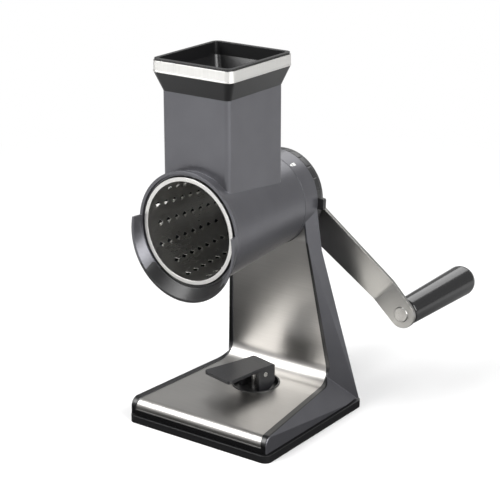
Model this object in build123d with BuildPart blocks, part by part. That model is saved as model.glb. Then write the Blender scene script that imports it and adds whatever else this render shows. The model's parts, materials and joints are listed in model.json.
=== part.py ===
"""Hand-cranked table-top drum grater.

A square base with a suction foot carries a leaning column. A hopper housing is held on the column
head by a bayonet, and a tapered grating drum turns inside it, driven by a crank at the back.

Millimetres. Origin at the centre of the base, on the table. +Z up, the drum opens towards -Y and
the crank is at +Y. Lengths along the drum are called "y", distances from its axis are radii.
"""
import os
from math import cos, radians, sin

from build123d import *

os.makedirs("parts", exist_ok=True)

# ---------------------------------------------------------------- fits
RUN_FIT = 0.06              # radial clearance of a turning fit
SLIDE_GAP = 0.3             # between moving faces that don't guide each other

# ---------------------------------------------------------------- base
BASE_SIZE = 140.0           # square bottom rim
RIM_HEIGHT = 6.4
RIM_CORNER = 6.0
GROOVE_HEIGHT = 1.2         # shadow gap between rim and body
GROOVE_DEPTH = 3.0
BODY_INSET = 1.8            # body side behind the rim's side
BODY_FRONT = -67.0          # front face under the sheet
BODY_REAR = 66.9            # rear face at the foot
SCREW_PITCH = 112.0         # square pattern of the base screws
BASE_SCREW_RADIUS = 1.7
BASE_SCREW_HEAD = 3.4
BASE_SCREW_SEAT = 3.2       # height of the screws' seats in the rim
BASE_SCREW_HEAD_HEIGHT = 2.0
BASE_SCREW_TOP = 15.0
BASE_TOP_FRONT = 19.6       # top of the plastic at the front edge
CREASE_Y = 50.0             # where the base's top meets the column's front
CREASE_Z = 23.9
CREST_FRONT = 67.9          # half width of the base's top at the front
CREST_CREASE = 53.8         # half width at the crease
CREASE_RADIUS = 15.0
FRONT_RADIUS = 6.0          # rounding of the base's top front edge

# ---------------------------------------------------------------- column and head
AXIS_Z = 180.3              # height of the drum axis
NECK_Z = 150.0              # above this the column's sides run straight up to the head
NECK_FRONT = 32.0
HEAD_RADIUS = 38.9
HEAD_FRONT = 26.9
HEAD_REAR = 44.6
SOCKET_RADIUS = 33.4        # round socket for the housing's spigot
SOCKET_DEPTH = 9.6
HUB_HOLE = 13.0             # hole in the casing's rear wall for the drum's hub
GROOVE_RADIUS = 36.2        # bayonet groove inside the socket
GROOVE_FRONT = 30.6         # y of the groove's front wall
BOSS_RADIUS = 17.0          # rear boss that carries the lock ring
BOSS_REAR = 56.4
BUSH_BORE = 9.0             # hole for the bushes
BACK_KINK_Z = 140.0         # the sloping back meets the head's upright back here
NECK_REAR_HALF = 42.0

# ---------------------------------------------------------------- cover sheet
SHEET = 1.0
RIB_PROUD = 0.7             # the plastic ribs beside the sheet stand this far above it
RIB_ROUND = 1.5             # rounding of the base's side edges
SHEET_FRONT_HALF = 62.3
SHEET_CREASE_HALF = 49.4
SHEET_NECK_HALF = 36.6
SHEET_TOP = 162.0
SHEET_LIP_BOTTOM = 12.0

# ---------------------------------------------------------------- suction foot and lever
FOOT_Y = 13.0               # y of the suction stem
CUP_RADIUS = 46.0
CUP_CLEARANCE = 1.5
CUP_LIP = 3.2
CUP_DOME = 5.0              # hollow under the cup when the lever is locked
CUP_HUB_RADIUS = 11.0
CUP_HUB_TOP = 12.0
CAVITY_TOP = 13.4
CLAMP_RADIUS = 41.5         # the rim's step that holds the cup's edge
STEM_DISC = 7.5             # the stem's foot, held in the cup's hub
STEM_FOOT = 7.0
STEM_DISC_HEIGHT = 2.0
STEM_RADIUS = 3.5
RECESS_RADIUS = 20.3        # outside of the lever's dish
RECESS_WALL = 1.4
RECESS_LIP = 0.5            # the dish's rim stands this far above the sheet
RECESS_FLOOR = 19.0         # top of the dish's floor
RECESS_UNDER = 16.4
LEVER_YAW = -14.0           # the lever stands turned about the stem
PIVOT_Z = 34.6
PIN_RADIUS = 2.0
LEVER_REAR_HALF = 12.8
LEVER_TAB_HALF = 16.4
LEVER_LENGTH = 42.5
LEVER_PLATE = 2.8
LEVER_CHEEK = 3.6
LEVER_TOP = 7.0             # top of the lever above its pin
LEVER_TAB_TOP = 6.2
LEVER_REAR = 11.6           # the plate runs this far behind the pin
CAM_TOE = 7.0
LEVER_SWING = 85.0          # degrees from locked to released
CAM_LOCKED = PIVOT_Z - RECESS_FLOOR - SLIDE_GAP
CAM_THROW = 4.0             # how far the stem drops when the lever is lifted
CAM_STEPS = 12
LEVER_CORNER = 3.0
EYE_RADIUS = 3.8
EYE_GAP = 0.4               # between the stem's eye and each cheek

# ---------------------------------------------------------------- housing
CASE_FRONT = -76.7
CASE_REAR = 26.6
CASE_FRONT_RADIUS = 47.5
CASE_REAR_RADIUS = 38.9
CASE_WALL = 2.5
CASE_END_WALL = 4.0
FLANGE_LENGTH = 3.4
NECK_UNDERCUT = 1.6         # casing behind the front flange
HOPPER_HALF = 31.7
HOPPER_FRONT = -66.6
HOPPER_REAR = 4.7
HOPPER_WALL = 2.6
HOPPER_CORNER = 4.0
FLARE_BOTTOM = 284.5
FLARE_TOP = 299.6
FLARE_OUT = 5.0
BAND_WALL = 0.8
BAND_CORNER = 6.0
BAND_TOP = 308.4
RIM_TOP = 310.0
MOUTH_WALL = 3.0
MOUTH_RADIUS = 45.0         # inside the front flange
MOUTH_STEP = 2.2            # depth of that wider part
LIP_FRONT = -84.6           # front edge of the spout lip
LIP_DROP = 5.2              # its front circle sits lower than the axis
LIP_RADIUS = 49.6
LIP_LEVEL = 5.0             # the lip ends this far above the axis
LIP_WALL = 2.2
SPIGOT_LENGTH = 8.4
SPIGOT_BORE = 26.0
LUG_COUNT = 3
LUG_ANGLE = 24.0
LUG_LENGTH = 3.2
BAYONET_TURN = 35.0
LUG_ENTRY_ANGLE = LUG_ANGLE + 3.0
LUG_START = 90.0            # first lug, from +X towards +Z

# ---------------------------------------------------------------- drum
DRUM_SHEET = 0.8
DRUM_FRONT = -74.2
DRUM_REAR = 10.0
DRUM_FRONT_RADIUS = 41.2
DRUM_REAR_RADIUS = 34.4
DRUM_RING_OUTER = 42.6
DRUM_RING_INNER = 39.4
DRUM_RING_FRONT = -76.6
DRUM_RING_LENGTH = 3.4
DRUM_END_WALL = 3.0
TOOTH_ROWS = 15
TEETH_PER_ROW = 8
TOOTH_PITCH = 9.4
TOOTH_LENGTH = 5.6          # diamond, along the drum
TOOTH_WIDTH = 5.2           # diamond, round the drum
TOOTH_HEIGHT = 1.3
TOOTH_TAPER = 34.0
TOOTH_SHELL = 0.8
FIRST_TOOTH = -66.0
HUB_RADIUS = 10.5
HUB_REAR = 20.6
SOCKET_ACROSS = 10.2
SOCKET_BOTTOM = 8.6

# ---------------------------------------------------------------- drive shaft and bushes
HEX_ACROSS = 10.0
HEX_FRONT = 9.6
COLLAR_RADIUS = 9.5
COLLAR_LENGTH = 2.4
SHAFT_RADIUS = 6.0
SQUARE_SIZE = 8.0
BUSH_FLANGE = 1.5
BUSH_FLANGE_RADIUS = 12.0
BUSH_LENGTH = 8.0
CLIP_THICKNESS = 1.2
CLIP_RADIUS = 9.0
CLIP_GROOVE_RADIUS = 5.0
HUB_GAP = 0.4               # between the retaining ring and the crank's hub disc

# ---------------------------------------------------------------- lock ring
RING_FRONT = HEAD_REAR + SLIDE_GAP
RING_REAR = 58.6
RING_REAR_RADIUS = 33.4
RING_WALL = 2.6
RING_SLEEVE_FRONT = 52.4
RING_RIBS = 24
RIB_DEPTH = 0.7
TAB_REACH = 44.0
TAB_HALF = 4.6
TAB_THICKNESS = 4.0
TAB_ANGLE = -2.0

# ---------------------------------------------------------------- crank and grip
CRANK_ANGLE = -44.0         # rest position, below the horizontal on the +X side
ARM_FRONT = 61.0            # y of the arm's front face at the hub
ARM_LENGTH = 137.0
ARM_THICKNESS = 3.0
ARM_JOGGLE = 20.0           # how far the outer end stands further back
ARM_RAMP_START = 22.0
ARM_RAMP_END = 112.0
ARM_BEND = 14.0             # inner bend radius of the joggle
ARM_HUB_RADIUS = 19.0
ARM_END_RADIUS = 12.0
ARM_ROOT_HALF = 15.5
HUB_DISC_RADIUS = 12.0
WASHER_THICKNESS = 1.2
SCREW_HEAD_RADIUS = 7.5
SCREW_HEAD_HEIGHT = 4.2
SCREW_RADIUS = 3.0
SCREW_DEPTH = 14.0
COLLAR_HEIGHT = 2.2
GRIP_GAP = 0.4
GRIP_LENGTH = 103.0
GRIP_NEAR_RADIUS = 11.4
GRIP_FAR_RADIUS = 13.4
GRIP_END_ROUND = 9.0
GRIP_NEAR_ROUND = 1.5
GRIP_BORE_DEPTH = 78.0
CLIP_GROOVE_GAP = 0.3       # round the clip inside the grip
AXLE_RADIUS = 4.0
AXLE_GROOVE = 6.0           # from the axle's free end to its groove
AXLE_END_GAP = 1.5
RIVET_RADIUS = 6.5
RIVET_HEIGHT = 1.2
GRIP_CLIP_RADIUS = 6.0

# ---------------------------------------------------------------- values worked out from the above
BASE_HALF = BASE_SIZE / 2
TOP_RADII = [FRONT_RADIUS, CREASE_RADIUS, CREASE_RADIUS]
RIB_HEIGHT = SHEET + RIB_PROUD
BODY_HALF = BASE_HALF - BODY_INSET
BODY_BOTTOM = RIM_HEIGHT + GROOVE_HEIGHT
STEP_SIZE = BASE_SIZE - 2 * (GROOVE_DEPTH + BODY_INSET)
SOCKET_REAR = HEAD_FRONT + SOCKET_DEPTH
BASE_SLOPE = (CREASE_Z - BASE_TOP_FRONT) / (CREASE_Y - BODY_FRONT)
DRUM_AXIS = Axis((0, 0, AXIS_Z), (0, 1, 0))
FLANGE_REAR = CASE_FRONT + FLANGE_LENGTH
CASE_SLOPE = (CASE_REAR_RADIUS - (CASE_FRONT_RADIUS - NECK_UNDERCUT)) / (CASE_REAR - FLANGE_REAR)
DRUM_SLOPE = (DRUM_REAR_RADIUS - DRUM_FRONT_RADIUS) / (DRUM_REAR - DRUM_FRONT)
ARM_DIRECTION = Vector(cos(radians(CRANK_ANGLE)), 0, sin(radians(CRANK_ANGLE)))
GRIP_X = ARM_LENGTH * ARM_DIRECTION.X
GRIP_Z = AXIS_Z + ARM_LENGTH * ARM_DIRECTION.Z
ARM_BACK = ARM_FRONT + ARM_JOGGLE + ARM_THICKNESS
GRIP_FRONT = ARM_BACK + COLLAR_HEIGHT + GRIP_GAP
GRIP_AXIS = Axis((GRIP_X, 0, GRIP_Z), (0, 1, 0))
LEVER_PLANE = Plane(
    origin=(0, FOOT_Y, PIVOT_Z),
    x_dir=(sin(radians(LEVER_YAW)) * -1, cos(radians(LEVER_YAW)), 0),
    z_dir=(cos(radians(LEVER_YAW)), sin(radians(LEVER_YAW)), 0),
)
SHEET_TOP_AT_FOOT = BASE_TOP_FRONT + BASE_SLOPE * (FOOT_Y - BODY_FRONT) + SHEET
RECESS_HEIGHT = 2 * (SHEET_TOP_AT_FOOT - RECESS_UNDER)
RIM_PLANE = Plane(
    origin=(0, FOOT_Y, SHEET_TOP_AT_FOOT + RECESS_LIP),
    x_dir=(1, 0, 0),
    z_dir=(0, -BASE_SLOPE, 1),
)
LEVER_TOP_PLANE = Plane(origin=LEVER_PLANE.origin, x_dir=LEVER_PLANE.x_dir, z_dir=(0, 0, 1))
COLLAR_FRONT = SOCKET_REAR - BUSH_FLANGE - COLLAR_LENGTH
BUSH_END = BOSS_REAR + BUSH_FLANGE
CLIP_FRONT = BUSH_END + RUN_FIT
HUB_FRONT = CLIP_FRONT + CLIP_THICKNESS + HUB_GAP
SHAFT_END = ARM_FRONT + ARM_THICKNESS - 0.2
SCREW_SEAT = ARM_FRONT + ARM_THICKNESS + WASHER_THICKNESS
SCREW_TIP = SCREW_SEAT - SCREW_DEPTH
RING_LENGTH = RING_REAR - RING_FRONT
LUG_FRONT = GROOVE_FRONT + SLIDE_GAP
ARM_OUTLINE_PLANE = Plane(origin=(0, HUB_FRONT, AXIS_Z), x_dir=ARM_DIRECTION, z_dir=(0, -1, 0))
ARM_SIDE_PLANE = Plane(
    origin=(0, 0, AXIS_Z), x_dir=ARM_DIRECTION, z_dir=(-ARM_DIRECTION.Z, 0, ARM_DIRECTION.X))
GRIP_PLANE = Plane.YZ.offset(GRIP_X)
AXLE_END = GRIP_FRONT + GRIP_BORE_DEPTH - AXLE_END_GAP
GRIP_CLIP_FRONT = AXLE_END - AXLE_GROOVE


def case_radius(y):
    """Outer radius of the tapered casing at y, behind its front flange."""
    return CASE_REAR_RADIUS + CASE_SLOPE * (y - CASE_REAR)


def drum_radius(y):
    """Outer radius of the drum's sheet at y."""
    return DRUM_FRONT_RADIUS + DRUM_SLOPE * (y - DRUM_FRONT)


def turned_outline(points, axis_z=AXIS_Z):
    """Outline of a turned piece from (y, radius) points, in the current sketch."""
    Polygon(*[(y, axis_z + radius) for y, radius in points], align=None)


def outline(points):
    """Straight-edged outline, in the current sketch."""
    Polygon(*points, align=None)


def sector(radius, angle, mode=Mode.ADD):
    """Pie slice centred on the local +X axis, in the current sketch."""
    half = radians(angle / 2)
    rim = radius * sin(half) / cos(half)
    Polygon((0, 0), (radius, -rim), (radius, rim), align=None, mode=mode)


def top_line(low, high):
    """(y, z) corners of the line that the cover sheet lies on, from height low to height high."""
    return [
        (BODY_FRONT, low),
        (BODY_FRONT, BASE_TOP_FRONT),
        (CREASE_Y, CREASE_Z),
        (NECK_FRONT, NECK_Z),
        (NECK_FRONT, high),
    ]


def save(part, name):
    """Label a finished piece and write its STEP file."""
    part.part.label = name
    export_step(part.part, f"parts/{name}.step")


def trim(*points):
    """Cut the current piece along the plane through three points, and along its mirror image.

    The side towards the middle stays.
    """
    first, second, third = [Vector(*point) for point in points]
    normal = (second - first).cross(third - first)
    if normal.X < 0:
        normal = normal * -1
    along = second - first
    split(bisect_by=Plane(origin=first, x_dir=along, z_dir=normal), keep=Keep.BOTTOM)
    mirrored = Vector(-first.X, first.Y, first.Z)
    split(
        bisect_by=Plane(
            origin=mirrored,
            x_dir=(-along.X, along.Y, along.Z),
            z_dir=(-normal.X, normal.Y, normal.Z),
        ),
        keep=Keep.BOTTOM,
    )


# ================================================================ cover sheet
SHEET_SIDE = (
    (SHEET_FRONT_HALF, BODY_FRONT, BASE_TOP_FRONT),
    (SHEET_CREASE_HALF, CREASE_Y, CREASE_Z),
    (SHEET_NECK_HALF, NECK_FRONT, NECK_Z),
)

# What the sheet and the step up to the ribs beside it take out of the body.
with BuildPart() as sheet_recess:
    with BuildSketch(Plane.YZ):
        with BuildLine():
            FilletPolyline(*top_line(SHEET_LIP_BOTTOM, SHEET_TOP), radius=TOP_RADII, close=False)
            offset(amount=RIB_HEIGHT + RIB_PROUD, side=Side.LEFT)
        make_face()
    extrude(amount=BASE_HALF, both=True)
    trim(*SHEET_SIDE)

with BuildPart() as stand_cover_sheet:
    with BuildSketch(Plane.YZ):
        with BuildLine():
            FilletPolyline(*top_line(SHEET_LIP_BOTTOM, SHEET_TOP), radius=TOP_RADII, close=False)
            offset(amount=SHEET, side=Side.LEFT)
        make_face()
    extrude(amount=BASE_HALF, both=True)
    trim(*SHEET_SIDE)
    with BuildSketch(Plane.YZ):
        turned_outline([
            (0, 0), (0, HEAD_RADIUS + SLIDE_GAP), (BODY_REAR, HEAD_RADIUS + SLIDE_GAP), (BODY_REAR, 0),
        ])
    revolve(axis=DRUM_AXIS, mode=Mode.SUBTRACT)
    with BuildSketch(Plane.XY.offset(RECESS_UNDER)):
        with Locations((0, FOOT_Y)):
            Circle(RECESS_RADIUS)
    extrude(amount=CREASE_RADIUS, mode=Mode.SUBTRACT)
save(stand_cover_sheet, "stand_cover_sheet")

# ================================================================ stand body
FOOT_CORNER = (BODY_HALF, BODY_REAR, BODY_BOTTOM)
FOOT_CREASE = (BODY_HALF, CREASE_Y, BODY_BOTTOM)
CREST_CORNER = (CREST_FRONT, BODY_FRONT - RIB_HEIGHT, BASE_TOP_FRONT + RIB_HEIGHT)
CREST_WAIST = (CREST_CREASE, CREASE_Y - RIB_HEIGHT, CREASE_Z + RIB_HEIGHT)
NECK_CORNER = (HEAD_RADIUS, NECK_FRONT - RIB_HEIGHT, NECK_Z)

with BuildPart() as stand_slab:
    # Side profile: base wedge, crease arc, leaning column front and sloping back.
    with BuildSketch(Plane.YZ):
        with BuildLine():
            FilletPolyline(
                (BODY_FRONT, BODY_BOTTOM),
                (BODY_FRONT, BASE_TOP_FRONT),
                (CREASE_Y, CREASE_Z),
                (NECK_FRONT, NECK_Z),
                (NECK_FRONT, AXIS_Z),
                (HEAD_REAR, AXIS_Z),
                (HEAD_REAR, BACK_KINK_Z),
                (BODY_REAR, BODY_BOTTOM),
                radius=[0, FRONT_RADIUS, CREASE_RADIUS, CREASE_RADIUS, 0, 0, 0, 0],
                close=True,
            )
        make_face()
    extrude(amount=BASE_HALF, both=True)
    # The ribs beside the sheet stand above it.
    with BuildSketch(Plane.YZ):
        with BuildLine():
            FilletPolyline(*top_line(BODY_BOTTOM, AXIS_Z), radius=TOP_RADII, close=False)
            offset(amount=RIB_HEIGHT, side=Side.LEFT)
        make_face()
    extrude(amount=BASE_HALF, both=True)

with BuildPart() as stand_base:
    add(stand_slab.part)
    trim(CREST_CORNER, CREST_WAIST, FOOT_CREASE)
    trim(CREST_CORNER, FOOT_CREASE, (BODY_HALF, BODY_FRONT, BODY_BOTTOM))
    side_edges = stand_base.edges().filter_by(
        lambda edge: abs(edge.center().X) > NECK_REAR_HALF
        and edge.center().Y < CREASE_Y
        and edge.center().Z > BODY_BOTTOM + RIB_ROUND
    )
    fillet(side_edges, radius=RIB_ROUND)

with BuildPart() as stand_body:
    add(stand_slab.part)
    trim(CREST_WAIST, FOOT_CORNER, NECK_CORNER)
    trim(FOOT_CORNER, NECK_CORNER, (NECK_REAR_HALF, HEAD_REAR, NECK_Z))
    add(stand_base.part)
    add(sheet_recess.part, mode=Mode.SUBTRACT)
    # Round head with the rear boss for the lock ring.
    with BuildSketch(Plane.YZ):
        turned_outline([
            (HEAD_FRONT, 0),
            (HEAD_FRONT, HEAD_RADIUS),
            (HEAD_REAR, HEAD_RADIUS),
            (HEAD_REAR, BOSS_RADIUS),
            (BOSS_REAR, BOSS_RADIUS),
            (BOSS_REAR, 0),
        ])
    revolve(axis=DRUM_AXIS)
    # Socket with the bayonet groove, and the bore for the bushes.
    with BuildSketch(Plane.YZ):
        turned_outline([
            (HEAD_FRONT - 1, 0),
            (HEAD_FRONT - 1, SOCKET_RADIUS),
            (GROOVE_FRONT, SOCKET_RADIUS),
            (GROOVE_FRONT, GROOVE_RADIUS),
            (SOCKET_REAR, GROOVE_RADIUS),
            (SOCKET_REAR, BUSH_BORE),
            (BOSS_REAR + 1, BUSH_BORE),
            (BOSS_REAR + 1, 0),
        ])
    revolve(axis=DRUM_AXIS, mode=Mode.SUBTRACT)
    with BuildSketch(Plane.XZ.offset(-GROOVE_FRONT)):
        with Locations((0, AXIS_Z)):
            with PolarLocations(0, LUG_COUNT, start_angle=LUG_START + BAYONET_TURN):
                sector(GROOVE_RADIUS, LUG_ENTRY_ANGLE)
    extrude(amount=GROOVE_FRONT - HEAD_FRONT + 1, mode=Mode.SUBTRACT)
    # Hollow for the suction cup, and holes for the lever's dish, the stem and the screws.
    with BuildSketch(Plane.XY.offset(BODY_BOTTOM)):
        with Locations((0, FOOT_Y)):
            Circle(CLAMP_RADIUS)
    extrude(amount=CAVITY_TOP - BODY_BOTTOM, mode=Mode.SUBTRACT)
    with BuildSketch(Plane.XY.offset(RECESS_UNDER)):
        with Locations((0, FOOT_Y)):
            Circle(RECESS_RADIUS)
    extrude(amount=CREASE_RADIUS, mode=Mode.SUBTRACT)
    with Locations((0, FOOT_Y, CAVITY_TOP)):
        Hole(STEM_RADIUS + SLIDE_GAP)
    with BuildSketch(Plane.XY.offset(BODY_BOTTOM)):
        with GridLocations(SCREW_PITCH, SCREW_PITCH, 2, 2):
            Circle(BASE_SCREW_RADIUS)
    extrude(amount=BASE_SCREW_TOP - BODY_BOTTOM, mode=Mode.SUBTRACT)
save(stand_body, "stand_body")

# ================================================================ base rim and its screws
with BuildPart() as base_rim:
    with BuildSketch():
        RectangleRounded(BASE_SIZE, BASE_SIZE, RIM_CORNER)
    extrude(amount=RIM_HEIGHT)
    with BuildSketch(Plane.XY.offset(RIM_HEIGHT)):
        RectangleRounded(STEP_SIZE, STEP_SIZE, RIM_CORNER)
    extrude(amount=GROOVE_HEIGHT)
    with Locations((0, FOOT_Y, BODY_BOTTOM)):
        Hole(CUP_RADIUS + CUP_CLEARANCE)
    with BuildSketch():
        with GridLocations(SCREW_PITCH, SCREW_PITCH, 2, 2):
            Circle(BASE_SCREW_HEAD + SLIDE_GAP)
    extrude(amount=BASE_SCREW_SEAT, mode=Mode.SUBTRACT)
    with BuildSketch(Plane.XY.offset(BASE_SCREW_SEAT)):
        with GridLocations(SCREW_PITCH, SCREW_PITCH, 2, 2):
            Circle(BASE_SCREW_RADIUS)
    extrude(amount=BODY_BOTTOM - BASE_SCREW_SEAT, mode=Mode.SUBTRACT)
save(base_rim, "base_rim")

with BuildPart() as base_screws:
    with BuildSketch(Plane.XY.offset(BASE_SCREW_SEAT - BASE_SCREW_HEAD_HEIGHT)):
        with GridLocations(SCREW_PITCH, SCREW_PITCH, 2, 2):
            Circle(BASE_SCREW_HEAD)
    extrude(amount=BASE_SCREW_HEAD_HEIGHT)
    with BuildSketch(Plane.XY.offset(BASE_SCREW_SEAT)):
        with GridLocations(SCREW_PITCH, SCREW_PITCH, 2, 2):
            Circle(BASE_SCREW_RADIUS)
    extrude(amount=BASE_SCREW_TOP - BASE_SCREW_SEAT)
save(base_screws, "base_screws")

# ================================================================ suction foot
with BuildPart() as suction_cup:
    with BuildSketch(Plane.XZ):
        outline([
            (0, CUP_DOME),
            (CUP_HUB_RADIUS, CUP_DOME),
            (CLAMP_RADIUS, 0),
            (CUP_RADIUS, 0),
            (CUP_RADIUS, BODY_BOTTOM),
            (CLAMP_RADIUS + SLIDE_GAP, BODY_BOTTOM),
            (CLAMP_RADIUS - CUP_LIP, CUP_LIP),
            (CUP_HUB_RADIUS, CUP_DOME + CUP_LIP),
            (CUP_HUB_RADIUS, CUP_HUB_TOP),
            (0, CUP_HUB_TOP),
        ])
    revolve(axis=Axis.Z)
    # Pocket for the stem's foot, open upwards where the stem leaves it.
    with BuildSketch(Plane.XZ):
        outline([
            (0, STEM_FOOT),
            (STEM_DISC, STEM_FOOT),
            (STEM_DISC, STEM_FOOT + STEM_DISC_HEIGHT),
            (STEM_RADIUS, STEM_FOOT + STEM_DISC_HEIGHT),
            (STEM_RADIUS, CUP_HUB_TOP),
            (0, CUP_HUB_TOP),
        ])
    revolve(axis=Axis.Z, mode=Mode.SUBTRACT)
suction_cup.part.position = (0, FOOT_Y, 0)
save(suction_cup, "suction_cup")

with BuildPart() as lever_recess_cup:
    with BuildSketch(Plane.XY.offset(RECESS_UNDER)):
        with Locations((0, FOOT_Y)):
            Circle(RECESS_RADIUS)
    extrude(amount=RECESS_HEIGHT)
    with BuildSketch(Plane.XY.offset(RECESS_FLOOR)):
        with Locations((0, FOOT_Y)):
            Circle(RECESS_RADIUS - RECESS_WALL)
    extrude(amount=RECESS_HEIGHT, mode=Mode.SUBTRACT)
    with Locations((0, FOOT_Y, RECESS_FLOOR)):
        Hole(STEM_RADIUS + SLIDE_GAP)
    # The dish's rim follows the slope of the sheet around it.
    split(bisect_by=RIM_PLANE, keep=Keep.BOTTOM)
save(lever_recess_cup, "lever_recess_cup")

with BuildPart() as suction_stem:
    with BuildSketch(Plane.XY.offset(STEM_FOOT)):
        Circle(STEM_DISC)
    extrude(amount=STEM_DISC_HEIGHT)
    with BuildSketch(Plane.XY.offset(STEM_FOOT)):
        Circle(STEM_RADIUS)
    extrude(amount=PIVOT_Z - STEM_FOOT)
    with BuildSketch(Plane.YZ):
        with Locations((0, PIVOT_Z)):
            Circle(EYE_RADIUS)
    extrude(amount=LEVER_REAR_HALF - LEVER_CHEEK - EYE_GAP, both=True)
    with BuildSketch(Plane.YZ):
        with Locations((0, PIVOT_Z)):
            Circle(PIN_RADIUS + RUN_FIT)
    extrude(amount=LEVER_REAR_HALF, both=True, mode=Mode.SUBTRACT)
suction_stem.part.orientation = (0, 0, LEVER_YAW)
suction_stem.part.position = (0, FOOT_Y, 0)
save(suction_stem, "suction_stem")

# ================================================================ suction lever and its pin
cam_points = []
for step in range(CAM_STEPS + 1):
    swing = radians(LEVER_SWING * step / CAM_STEPS)
    reach = CAM_LOCKED - CAM_THROW * step / CAM_STEPS
    cam_points.append((reach * sin(swing), -reach * cos(swing)))

with BuildPart() as suction_lever:
    # Plate with the finger tab: seen from the side, then trimmed to its plan outline.
    with BuildSketch(LEVER_PLANE):
        outline([
            (-LEVER_LENGTH, LEVER_TAB_TOP - LEVER_PLATE),
            (LEVER_REAR, LEVER_TOP - LEVER_PLATE),
            (LEVER_REAR - 0.3 * LEVER_PLATE, LEVER_TOP - 0.4 * LEVER_PLATE),
            (LEVER_REAR - 1.2 * LEVER_PLATE, LEVER_TOP),
            (-LEVER_LENGTH, LEVER_TAB_TOP),
        ])
    extrude(amount=LEVER_TAB_HALF, both=True)
    # Cams on both sides of the stem's eye, standing on the dish's floor.
    for side in (-1, 1):
        with BuildSketch(LEVER_PLANE.offset(side * (LEVER_REAR_HALF - LEVER_CHEEK / 2))):
            outline(
                [(-CAM_TOE, LEVER_TAB_TOP - LEVER_PLATE + 1), (-CAM_TOE, -CAM_LOCKED)]
                + cam_points
                + [(cam_points[-1][0], LEVER_TOP - LEVER_PLATE + 0.5)]
            )
        extrude(amount=LEVER_CHEEK / 2, both=True)
    with BuildSketch(LEVER_TOP_PLANE) as lever_plan:
        outline([
            (LEVER_REAR, LEVER_REAR_HALF),
            (-CAM_TOE, LEVER_REAR_HALF),
            (-LEVER_LENGTH, LEVER_TAB_HALF),
            (-LEVER_LENGTH, -LEVER_TAB_HALF),
            (-CAM_TOE, -LEVER_REAR_HALF),
            (LEVER_REAR, -LEVER_REAR_HALF),
        ])
        fillet(lever_plan.vertices(), radius=LEVER_CORNER)
    extrude(amount=4 * CAM_LOCKED, both=True, mode=Mode.INTERSECT)
    with BuildSketch(LEVER_PLANE):
        Circle(PIN_RADIUS)
    extrude(amount=LEVER_TAB_HALF, both=True, mode=Mode.SUBTRACT)
save(suction_lever, "suction_lever")

with BuildPart() as lever_pin:
    with BuildSketch(LEVER_PLANE):
        Circle(PIN_RADIUS)
    extrude(amount=LEVER_REAR_HALF, both=True)
save(lever_pin, "lever_pin")

# ================================================================ bushes, drive shaft, retaining ring
with BuildPart() as bearing_bush_front:
    with BuildSketch(Plane.YZ):
        turned_outline([
            (SOCKET_REAR - BUSH_FLANGE, SHAFT_RADIUS + RUN_FIT),
            (SOCKET_REAR - BUSH_FLANGE, BUSH_FLANGE_RADIUS),
            (SOCKET_REAR, BUSH_FLANGE_RADIUS),
            (SOCKET_REAR, BUSH_BORE),
            (SOCKET_REAR + BUSH_LENGTH, BUSH_BORE),
            (SOCKET_REAR + BUSH_LENGTH, SHAFT_RADIUS + RUN_FIT),
        ])
    revolve(axis=DRUM_AXIS)
save(bearing_bush_front, "bearing_bush_front")

with BuildPart() as bearing_bush_rear:
    with BuildSketch(Plane.YZ):
        turned_outline([
            (BOSS_REAR - BUSH_LENGTH, SHAFT_RADIUS + RUN_FIT),
            (BOSS_REAR - BUSH_LENGTH, BUSH_BORE),
            (BOSS_REAR, BUSH_BORE),
            (BOSS_REAR, BUSH_FLANGE_RADIUS),
            (BUSH_END, BUSH_FLANGE_RADIUS),
            (BUSH_END, SHAFT_RADIUS + RUN_FIT),
        ])
    revolve(axis=DRUM_AXIS)
save(bearing_bush_rear, "bearing_bush_rear")

with BuildPart() as drive_shaft:
    with BuildSketch(Plane.XZ.offset(-HEX_FRONT)):
        with Locations((0, AXIS_Z)):
            RegularPolygon(HEX_ACROSS / 2, 6, major_radius=False)
    extrude(amount=-(COLLAR_FRONT - HEX_FRONT))
    with BuildSketch(Plane.YZ):
        turned_outline([
            (COLLAR_FRONT, 0),
            (COLLAR_FRONT, COLLAR_RADIUS),
            (COLLAR_FRONT + COLLAR_LENGTH, COLLAR_RADIUS),
            (COLLAR_FRONT + COLLAR_LENGTH, SHAFT_RADIUS),
            (CLIP_FRONT, SHAFT_RADIUS),
            (CLIP_FRONT, CLIP_GROOVE_RADIUS),
            (CLIP_FRONT + CLIP_THICKNESS, CLIP_GROOVE_RADIUS),
            (CLIP_FRONT + CLIP_THICKNESS, SHAFT_RADIUS),
            (HUB_FRONT, SHAFT_RADIUS),
            (HUB_FRONT, 0),
        ])
    revolve(axis=DRUM_AXIS)
    with BuildSketch(ARM_OUTLINE_PLANE):
        Rectangle(SQUARE_SIZE, SQUARE_SIZE)
    extrude(amount=-(SHAFT_END - HUB_FRONT))
    with BuildSketch(Plane.XZ.offset(-SHAFT_END)):
        with Locations((0, AXIS_Z)):
            Circle(SCREW_RADIUS)
    extrude(amount=SCREW_DEPTH, mode=Mode.SUBTRACT)
save(drive_shaft, "drive_shaft")

with BuildPart() as shaft_retaining_ring:
    with BuildSketch(Plane.YZ):
        turned_outline([
            (CLIP_FRONT, CLIP_GROOVE_RADIUS),
            (CLIP_FRONT, CLIP_RADIUS),
            (CLIP_FRONT + CLIP_THICKNESS, CLIP_RADIUS),
            (CLIP_FRONT + CLIP_THICKNESS, CLIP_GROOVE_RADIUS),
        ])
    revolve(axis=DRUM_AXIS)
save(shaft_retaining_ring, "shaft_retaining_ring")

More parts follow.
